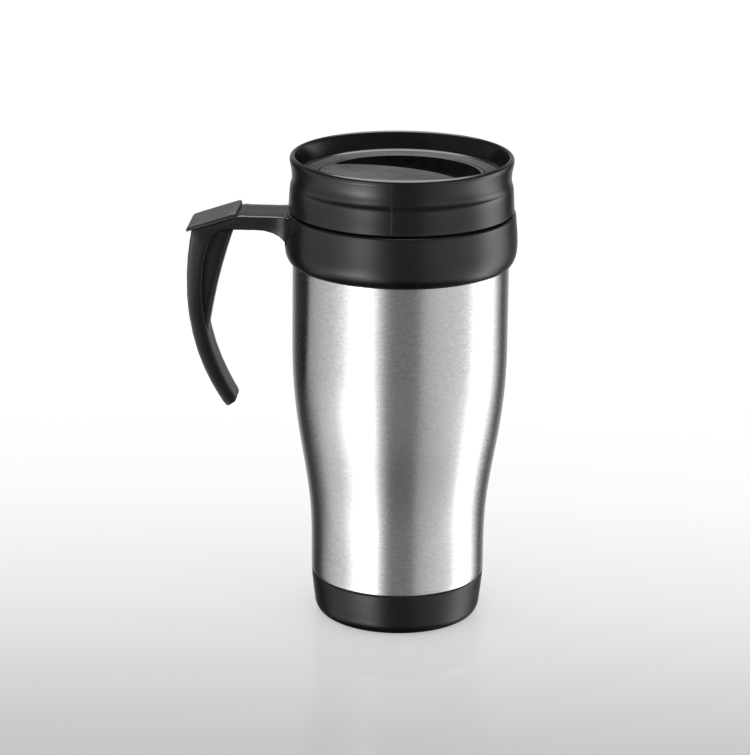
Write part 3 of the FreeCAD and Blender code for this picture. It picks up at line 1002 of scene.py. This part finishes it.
# Studio panels round the mug, by degrees to the right of the camera: how bright they are level with the mug,
# below it and above it
panels = [
    (-180, 0.8, 0.4, 0.35), (-162, 0.7, 0.35, 0.35), (-147, 0.1, 0.05, 0.3), (-132, 0.03, 0.05, 0.2),
    (-122, 0.12, 0.1, 0.15), (-112, 0.65, 0.3, 0.12), (-98, 0.85, 0.8, 0.12), (-78, 1.05, 1.3, 0.12),
    (-64, 1.35, 2.9, 0.12), (-54, 1.9, 5.2, 0.12), (-42, 3.2, 6.8, 0.12), (-33, 3.0, 4.2, 0.12),
    (-24, 1.6, 1.2, 0.12), (-17, 0.75, 0.5, 0.12), (-11, 0.38, 0.32, 0.12), (-5, 0.29, 0.3, 0.12),
    (14, 0.29, 0.3, 0.12), (20, 0.42, 0.3, 0.12), (26, 0.85, 0.35, 0.12), (42, 1.1, 0.6, 0.12),
    (60, 1.15, 1.0, 0.12), (75, 1.3, 1.4, 0.12), (83, 2.1, 2.1, 0.12), (92, 3.7, 2.7, 0.12), (103, 4.2, 2.7, 0.12),
    (114, 2.9, 1.5, 0.12), (125, 1.2, 0.4, 0.15), (133, 0.3, 0.1, 0.2), (142, 0.08, 0.05, 0.3),
    (152, 0.3, 0.2, 0.35), (165, 0.8, 0.4, 0.35), (180, 0.8, 0.4, 0.35),
]
panelPeak = 7.4
overheadPanel = 7.4

# By height, from 0 straight down to 1 straight up: share of the low, high and overhead panels, and shading
lowShare = [(0.0, 0.0), (0.215, 0.0), (0.25, 1.0), (0.285, 1.0), (0.32, 0.1), (0.335, 0.0), (1.0, 0.0)]
highShare = [(0.0, 0.0), (0.52, 0.0), (0.58, 1.0), (1.0, 1.0)]
overheadShare = [(0.0, 0.0), (0.87, 0.0), (0.91, 1.0), (1.0, 1.0)]
heightShade = [(0.0, 0.02), (0.12, 0.05), (0.19, 0.7), (0.25, 1.0), (0.29, 1.0), (0.33, 0.7), (0.385, 0.7),
               (0.41, 0.52), (0.44, 0.7), (0.47, 1.0), (1.0, 1.0)]


def makeStudio():
    world = bpy.data.worlds.new("studio")
    bpy.context.scene.world = world
    world.use_nodes = True
    tree = world.node_tree
    tree.nodes.clear()
    place = addNode(tree, "ShaderNodeTexCoord")
    face = addNode(tree, "ShaderNodeMapping", vector_type="POINT")
    face.inputs["Rotation"].default_value[2] = -math.radians(view["turn"])
    split = addNode(tree, "ShaderNodeSeparateXYZ")
    back = addNode(tree, "ShaderNodeMath", operation="MULTIPLY")
    back.inputs[1].default_value = -1.0
    bearing = addNode(tree, "ShaderNodeMath", operation="ARCTAN2")
    turn = addNode(tree, "ShaderNodeMapRange", clamp=True)
    turn.inputs["From Min"].default_value = -math.pi
    turn.inputs["From Max"].default_value = math.pi
    lift = addNode(tree, "ShaderNodeMapRange", clamp=True)
    lift.inputs["From Min"].default_value = -1.0
    tree.links.new(place.outputs["Generated"], face.inputs["Vector"])
    tree.links.new(face.outputs["Vector"], split.inputs["Vector"])
    tree.links.new(split.outputs["Y"], back.inputs[0])
    tree.links.new(split.outputs["X"], bearing.inputs[0])
    tree.links.new(back.outputs["Value"], bearing.inputs[1])
    tree.links.new(bearing.outputs["Value"], turn.inputs["Value"])
    tree.links.new(split.outputs["Z"], lift.inputs["Value"])
    shares = [rampOf(tree, stops) for stops in (lowShare, highShare, overheadShare, heightShade)]
    bands = [rampOf(tree, [(panel[0], panel[k] / panelPeak) for panel in panels]) for k in (1, 2, 3)]
    for band in bands:
        tree.links.new(turn.outputs["Result"], band.inputs["Fac"])
    for share in shares:
        tree.links.new(lift.outputs["Result"], share.inputs["Fac"])
    seen = bands[0].outputs["Color"]
    for share, band in zip(shares, (bands[1], bands[2], None)):
        blend = addNode(tree, "ShaderNodeMix", data_type="RGBA")
        tree.links.new(share.outputs["Color"], blend.inputs["Factor"])
        tree.links.new(seen, blend.inputs["A"])
        if band:
            tree.links.new(band.outputs["Color"], blend.inputs["B"])
        else:
            blend.inputs["B"].default_value = (*[overheadPanel / panelPeak] * 3, 1)
        seen = blend.outputs["Result"]
    shaded = addNode(tree, "ShaderNodeMix", data_type="RGBA", blend_type="MULTIPLY", Factor=1.0)
    tree.links.new(seen, shaded.inputs["A"])
    tree.links.new(shares[3].outputs["Color"], shaded.inputs["B"])
    studio = addNode(tree, "ShaderNodeBackground", Strength=panelPeak)
    tree.links.new(shaded.outputs["Result"], studio.inputs["Color"])
    # what is seen in reflections is the panels; all else is even white paper
    paper = addNode(tree, "ShaderNodeBackground", Color=(1, 1, 1, 1), Strength=1.0)
    rays = addNode(tree, "ShaderNodeLightPath")
    pick = addNode(tree, "ShaderNodeMixShader")
    out = addNode(tree, "ShaderNodeOutputWorld")
    tree.links.new(rays.outputs["Is Glossy Ray"], pick.inputs[0])
    tree.links.new(paper.outputs["Background"], pick.inputs[1])
    tree.links.new(studio.outputs["Background"], pick.inputs[2])
    tree.links.new(pick.outputs["Shader"], out.inputs["Surface"])


makeCamera()
makeFloor()
makeStudio()
bpy.context.scene.view_settings.view_transform = "Standard"
print("camera, floor and studio made")
